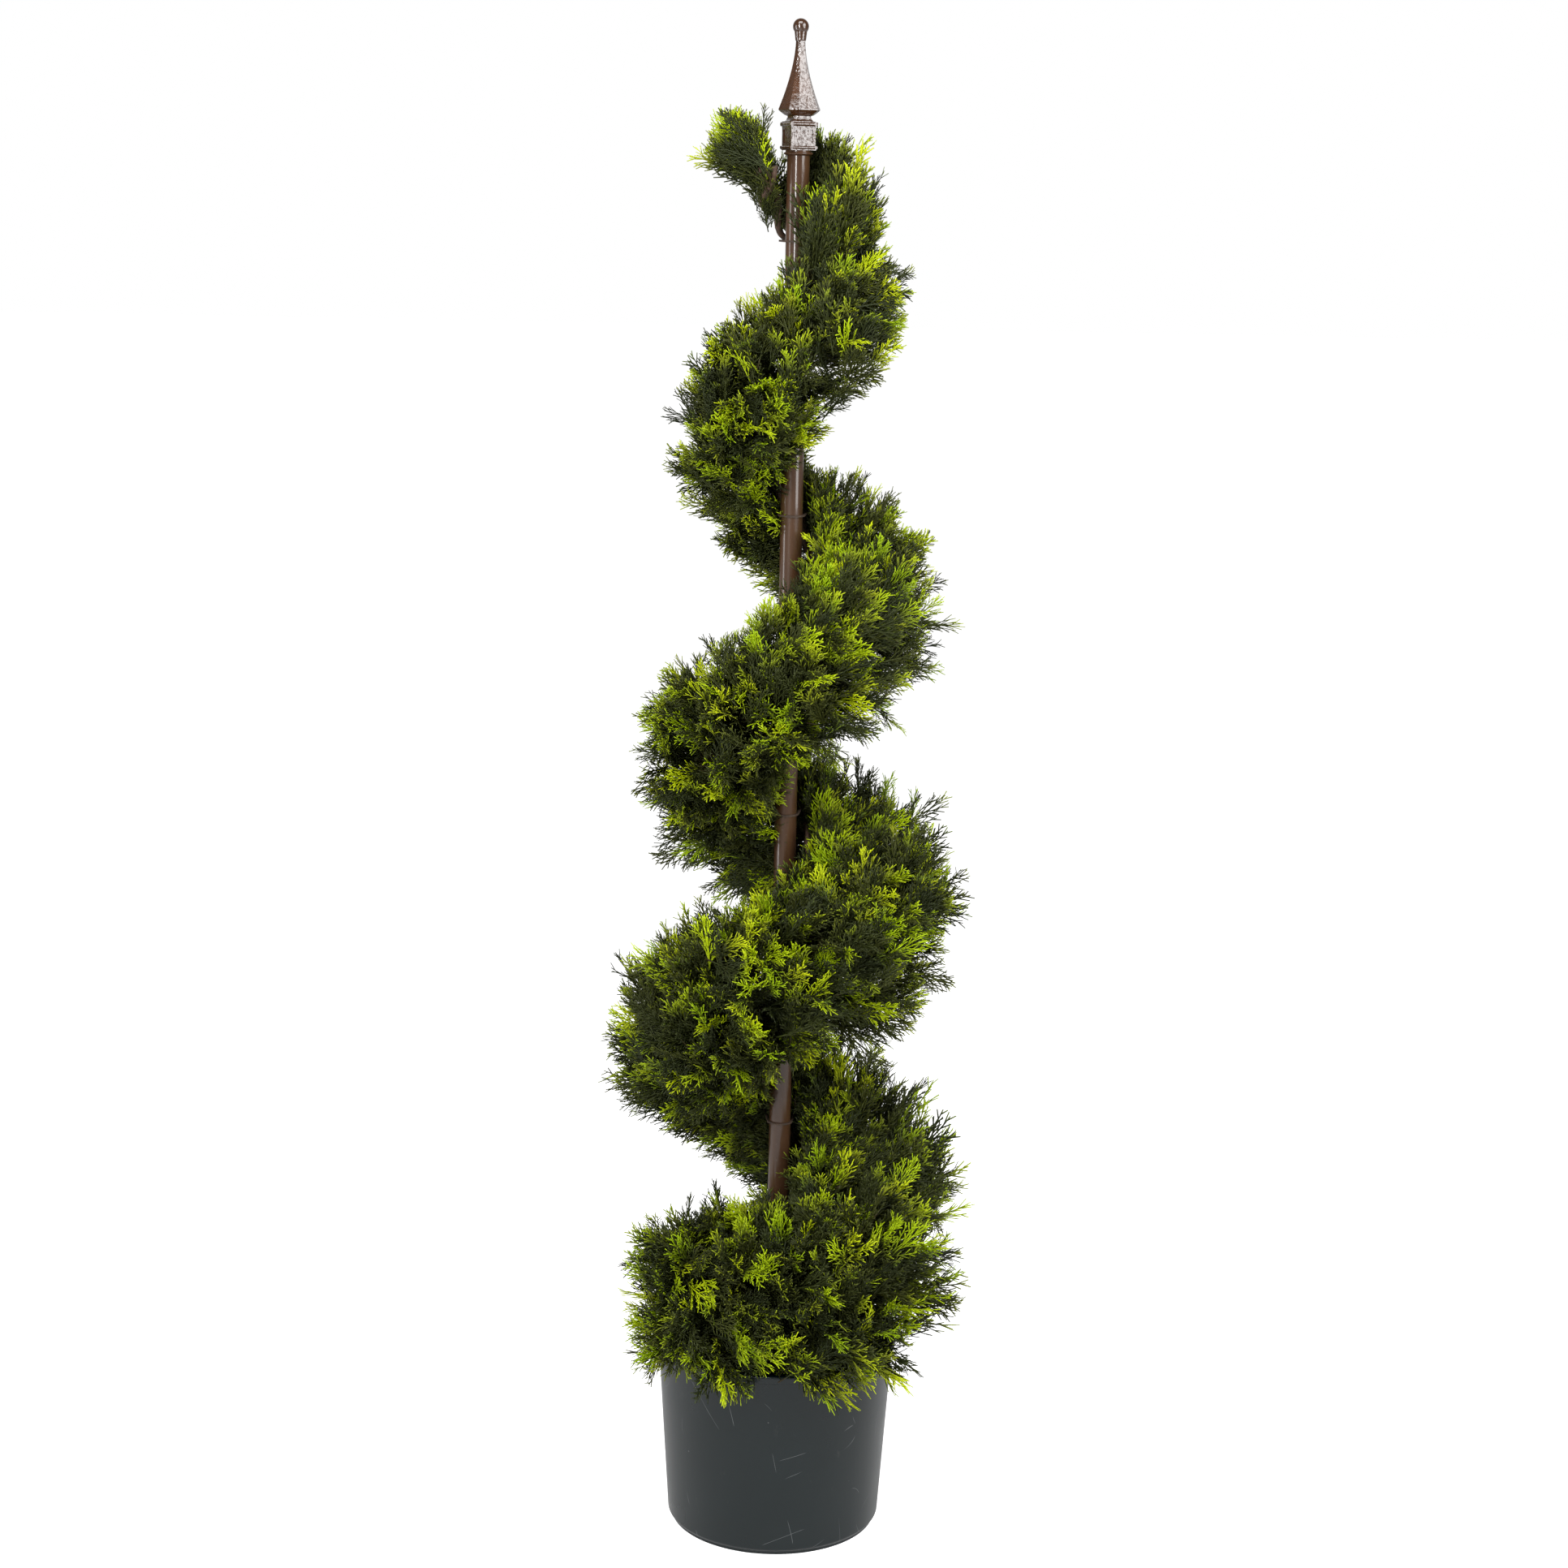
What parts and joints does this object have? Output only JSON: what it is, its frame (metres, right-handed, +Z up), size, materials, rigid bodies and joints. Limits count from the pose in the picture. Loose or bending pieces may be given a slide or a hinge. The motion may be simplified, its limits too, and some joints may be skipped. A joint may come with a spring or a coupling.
{
  "type": "spiral topiary obelisk",
  "caption": "Artificial cypress spiral winding up a round brown metal pole with a cast spire finial, set in a weighted dark nursery pot; the finial turns and lifts off.",
  "frame": {"origin": "centre of the pot's underside, where the pole's axis meets the ground", "axes": "+Z up along the pole, -Y towards the front, +X to the right seen from the front"},
  "size_m": [0.3784, 0.3754, 1.524],
  "materials": {
    "pot_plastic": "satin",
    "ballast_cement": "matte",
    "packing_foam": "matte",
    "moss": "matte",
    "pole_paint": "gloss",
    "finial_paint": "satin",
    "plain_steel": "satin",
    "taped_wire": "matte",
    "vine_bark": "matte",
    "cypress_foliage": "satin"
  },
  "bodies": {
    "topiary": {"nursery_pot": "pot_plastic", "ballast_block": "ballast_cement", "foam_disc": "packing_foam", "moss_cover": "moss", "pole_tube": "pole_paint", "anchor_pin": "plain_steel", "spiral_wire": "taped_wire", "vine_strand_1": "vine_bark", "vine_strand_2": "vine_bark", "tie_wires": "taped_wire", "cypress_bunch_01": "cypress_foliage", "cypress_bunch_02": "cypress_foliage", "cypress_bunch_03": "cypress_foliage", "cypress_bunch_04": "cypress_foliage", "cypress_bunch_05": "cypress_foliage", "cypress_bunch_06": "cypress_foliage", "cypress_bunch_07": "cypress_foliage", "cypress_bunch_08": "cypress_foliage", "cypress_bunch_09": "cypress_foliage", "cypress_bunch_10": "cypress_foliage", "cypress_bunch_11": "cypress_foliage", "cypress_bunch_12": "cypress_foliage", "cypress_bunch_13": "cypress_foliage", "cypress_bunch_14": "cypress_foliage", "cypress_bunch_15": "cypress_foliage", "cypress_bunch_16": "cypress_foliage", "cypress_bunch_17": "cypress_foliage", "cypress_bunch_18": "cypress_foliage", "cypress_bunch_19": "cypress_foliage", "cypress_bunch_20": "cypress_foliage", "cypress_bunch_21": "cypress_foliage", "cypress_bunch_22": "cypress_foliage", "cypress_bunch_23": "cypress_foliage", "cypress_bunch_24": "cypress_foliage", "cypress_bunch_25": "cypress_foliage", "cypress_bunch_26": "cypress_foliage", "cypress_bunch_27": "cypress_foliage", "cypress_bunch_28": "cypress_foliage", "cypress_bunch_29": "cypress_foliage", "cypress_bunch_30": "cypress_foliage", "cypress_bunch_31": "cypress_foliage", "cypress_bunch_32": "cypress_foliage", "cypress_bunch_33": "cypress_foliage", "cypress_bunch_34": "cypress_foliage"},
    "collar": {"finial_collar": "pole_paint"},
    "finial": {"finial_spigot": "plain_steel", "finial_stud": "plain_steel", "finial_washer": "plain_steel", "finial_nut": "plain_steel", "finial_block": "finial_paint", "finial_spire": "finial_paint", "finial_ball": "finial_paint"}
  },
  "joints": [
    {"name": "finial_turn", "type": "hinge", "parent": "topiary", "child": "collar", "pos_m": [0, 0, 1.396], "axis": [0, 0, 1], "continuous": true},
    {"name": "finial_lift", "type": "slide", "parent": "collar", "child": "finial", "axis": [0, 0, 1], "range_m": [0, 0.045]}
  ]
}
